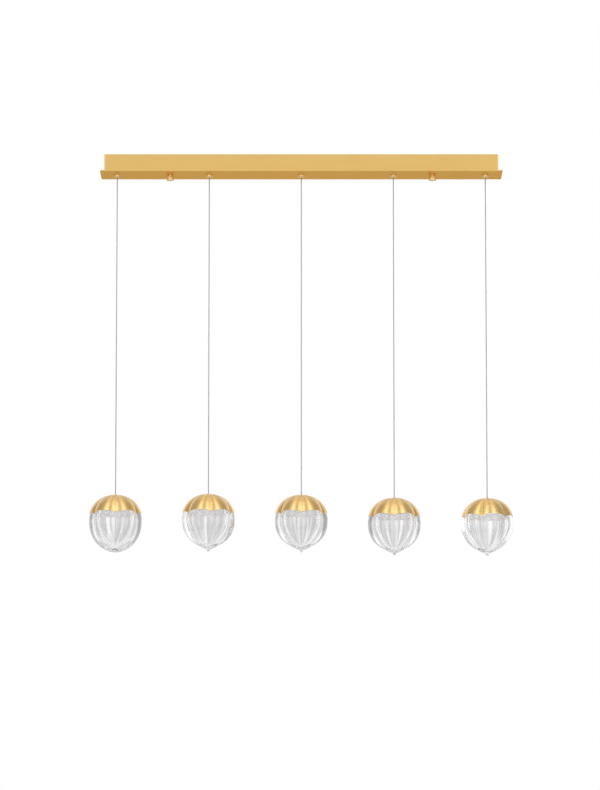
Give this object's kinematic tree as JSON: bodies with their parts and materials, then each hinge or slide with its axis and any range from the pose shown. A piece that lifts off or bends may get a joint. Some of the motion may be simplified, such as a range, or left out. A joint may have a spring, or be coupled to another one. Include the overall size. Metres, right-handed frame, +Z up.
{
  "type": "linear island pendant",
  "caption": "Rectangular ceiling canopy with a row of thin straight cords, each holding a lobed clear glass drop under a scalloped metal cap.",
  "frame": {"origin": "centre of the junction box screw slots on the bracket's upper face, at the ceiling", "axes": "+Z up into the ceiling, +X along the row of drops, +Y across the canopy to the back"},
  "size_m": [0.9964, 0.1224, 0.9538],
  "materials": {
    "satin_gold": "satin",
    "cap_gold": "satin",
    "polished_gold": "polished",
    "zinc_steel": "zinc plated",
    "tinned_cord": "clear jacket over a tinned braid",
    "driver_case": "matt",
    "terminal_plastic": "matt",
    "sink_aluminium": "turned",
    "board_white": "matt",
    "lens_opal": "frosted",
    "seal_silicone": "translucent",
    "clear_glass": "clear"
  },
  "bodies": {
    "canopy": {"ceiling_bracket": "zinc_steel", "mounting_studs": "zinc_steel", "stud_lock_nuts": "zinc_steel", "canopy_housing": "satin_gold", "canopy_plate": "satin_gold", "housing_screws": "zinc_steel", "cord_grips": "polished_gold", "grip_lock_nuts": "zinc_steel", "led_driver": "driver_case", "driver_screws": "zinc_steel", "terminal_block": "terminal_plastic", "wiring_harness": "tinned_cord"},
    "thumb_nut_left": {"thumb_nut_left": "polished_gold"},
    "thumb_nut_right": {"thumb_nut_right": "polished_gold"},
    "cord_1": {"suspension_cord_1": "tinned_cord"},
    "ferrule_1": {"cord_ferrule_1": "zinc_steel"},
    "shade_1": {"cap_bush_1": "polished_gold", "cap_1": "cap_gold", "heat_sink_1": "sink_aluminium", "led_board_1": "board_white", "led_lens_1": "lens_opal", "glass_seal_1": "seal_silicone", "glass_1": "clear_glass"},
    "cord_2": {"suspension_cord_2": "tinned_cord"},
    "ferrule_2": {"cord_ferrule_2": "zinc_steel"},
    "shade_2": {"cap_bush_2": "polished_gold", "cap_2": "cap_gold", "heat_sink_2": "sink_aluminium", "led_board_2": "board_white", "led_lens_2": "lens_opal", "glass_seal_2": "seal_silicone", "glass_2": "clear_glass"},
    "cord_3": {"suspension_cord_3": "tinned_cord"},
    "ferrule_3": {"cord_ferrule_3": "zinc_steel"},
    "shade_3": {"cap_bush_3": "polished_gold", "cap_3": "cap_gold", "heat_sink_3": "sink_aluminium", "led_board_3": "board_white", "led_lens_3": "lens_opal", "glass_seal_3": "seal_silicone", "glass_3": "clear_glass"},
    "cord_4": {"suspension_cord_4": "tinned_cord"},
    "ferrule_4": {"cord_ferrule_4": "zinc_steel"},
    "shade_4": {"cap_bush_4": "polished_gold", "cap_4": "cap_gold", "heat_sink_4": "sink_aluminium", "led_board_4": "board_white", "led_lens_4": "lens_opal", "glass_seal_4": "seal_silicone", "glass_4": "clear_glass"},
    "cord_5": {"suspension_cord_5": "tinned_cord"},
    "ferrule_5": {"cord_ferrule_5": "zinc_steel"},
    "shade_5": {"cap_bush_5": "polished_gold", "cap_5": "cap_gold", "heat_sink_5": "sink_aluminium", "led_board_5": "board_white", "led_lens_5": "lens_opal", "glass_seal_5": "seal_silicone", "glass_5": "clear_glass"}
  },
  "joints": [
    {"name": "thumb_nut_left_turn", "type": "hinge", "parent": "canopy", "child": "thumb_nut_left", "pos_m": [-0.311, 0, -0.0425], "axis": [0, 0, 1], "continuous": true},
    {"name": "thumb_nut_right_turn", "type": "hinge", "parent": "canopy", "child": "thumb_nut_right", "pos_m": [0.311, 0, -0.0425], "axis": [0, 0, 1], "continuous": true},
    {"name": "swing_1", "type": "hinge", "parent": "canopy", "child": "cord_1", "pos_m": [-0.4366, 0, -0.0443], "axis": [1, 0, 0], "range_deg": [-30, 30]},
    {"name": "lift_1", "type": "slide", "parent": "cord_1", "child": "ferrule_1", "axis": [0, 0, 1], "range_m": [0, 0.4], "deforming": ["suspension_cord_1"]},
    {"name": "turn_1", "type": "hinge", "parent": "ferrule_1", "child": "shade_1", "pos_m": [-0.4366, 0, -0.87278], "axis": [0, 0, 1], "range_deg": [-180, 180]},
    {"name": "swing_2", "type": "hinge", "parent": "canopy", "child": "cord_2", "pos_m": [-0.2183, 0, -0.0443], "axis": [1, 0, 0], "range_deg": [-30, 30]},
    {"name": "lift_2", "type": "slide", "parent": "cord_2", "child": "ferrule_2", "axis": [0, 0, 1], "range_m": [0, 0.4], "deforming": ["suspension_cord_2"]},
    {"name": "turn_2", "type": "hinge", "parent": "ferrule_2", "child": "shade_2", "pos_m": [-0.2183, 0, -0.87078], "axis": [0, 0, 1], "range_deg": [-180, 180]},
    {"name": "swing_3", "type": "hinge", "parent": "canopy", "child": "cord_3", "pos_m": [0, 0, -0.0443], "axis": [1, 0, 0], "range_deg": [-30, 30]},
    {"name": "lift_3", "type": "slide", "parent": "cord_3", "child": "ferrule_3", "axis": [0, 0, 1], "range_m": [0, 0.4], "deforming": ["suspension_cord_3"]},
    {"name": "turn_3", "type": "hinge", "parent": "ferrule_3", "child": "shade_3", "pos_m": [0, 0, -0.87278], "axis": [0, 0, 1], "range_deg": [-180, 180]},
    {"name": "swing_4", "type": "hinge", "parent": "canopy", "child": "cord_4", "pos_m": [0.2183, 0, -0.0443], "axis": [1, 0, 0], "range_deg": [-30, 30]},
    {"name": "lift_4", "type": "slide", "parent": "cord_4", "child": "ferrule_4", "axis": [0, 0, 1], "range_m": [0, 0.4], "deforming": ["suspension_cord_4"]},
    {"name": "turn_4", "type": "hinge", "parent": "ferrule_4", "child": "shade_4", "pos_m": [0.2183, 0, -0.87978], "axis": [0, 0, 1], "range_deg": [-180, 180]},
    {"name": "swing_5", "type": "hinge", "parent": "canopy", "child": "cord_5", "pos_m": [0.4366, 0, -0.0443], "axis": [1, 0, 0], "range_deg": [-30, 30]},
    {"name": "lift_5", "type": "slide", "parent": "cord_5", "child": "ferrule_5", "axis": [0, 0, 1], "range_m": [0, 0.4], "deforming": ["suspension_cord_5"]},
    {"name": "turn_5", "type": "hinge", "parent": "ferrule_5", "child": "shade_5", "pos_m": [0.4366, 0, -0.88078], "axis": [0, 0, 1], "range_deg": [-180, 180]}
  ]
}
